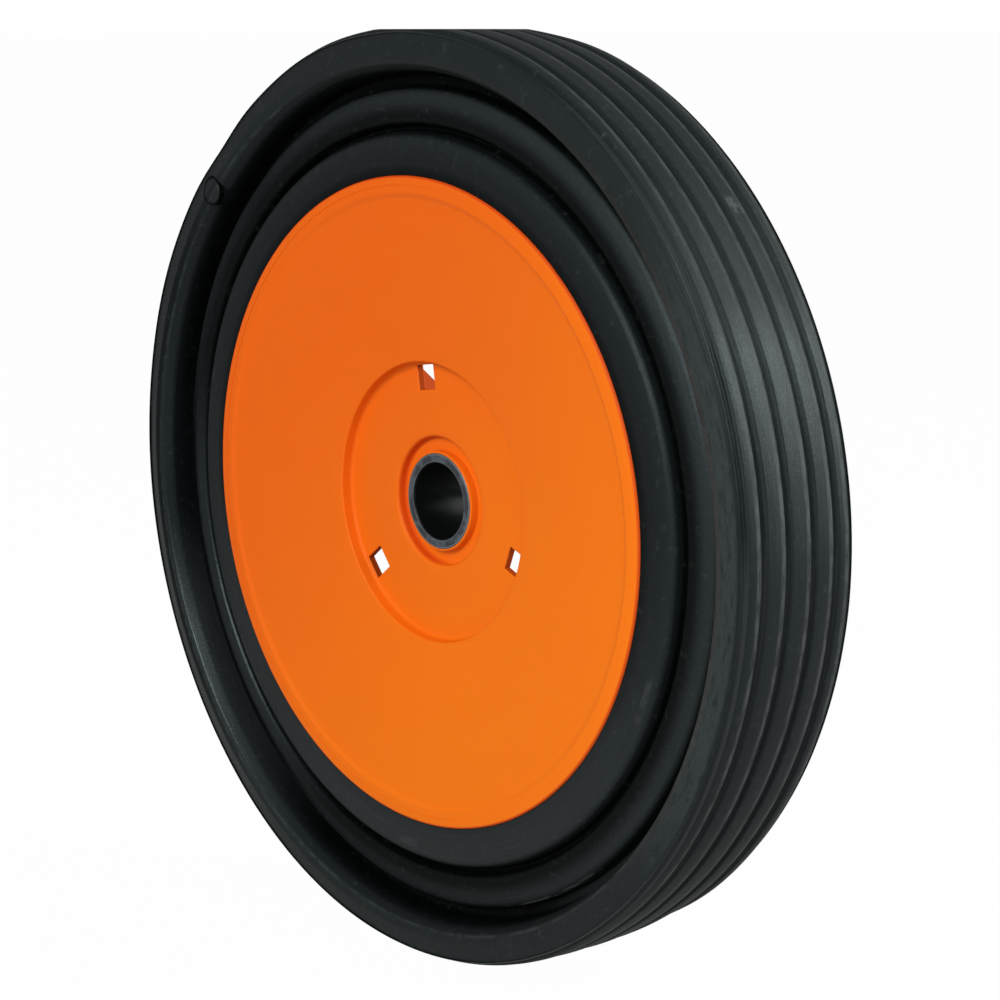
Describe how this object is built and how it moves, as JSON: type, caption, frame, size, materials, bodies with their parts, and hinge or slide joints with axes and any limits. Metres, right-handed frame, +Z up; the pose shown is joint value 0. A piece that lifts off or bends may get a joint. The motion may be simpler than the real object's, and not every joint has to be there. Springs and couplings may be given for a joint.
{
  "type": "lawn mower wheel",
  "caption": "Narrow solid-rubber-tyred wheel with a stepped plastic disc, a recessed hub with a steel axle tube and square bolt holes.",
  "frame": {"origin": "the wheel's centre: on the axle line, in the middle plane of the tread", "axes": "the wheel spins about +Y, which points to the open rear side; the dished front face looks along -Y; +Z up"},
  "size_m": [0.254, 0.0412, 0.254],
  "materials": {
    "tyre_rubber": "semi-matt black rubber with polished ribs",
    "body_plastic": "satin orange moulding",
    "tube_steel": "dull grey-blue drawn steel, cut ends"
  },
  "bodies": {
    "root": {"tyre": "tyre_rubber", "wheel_body": "body_plastic", "hub_tube": "tube_steel"}
  },
  "joints": []
}
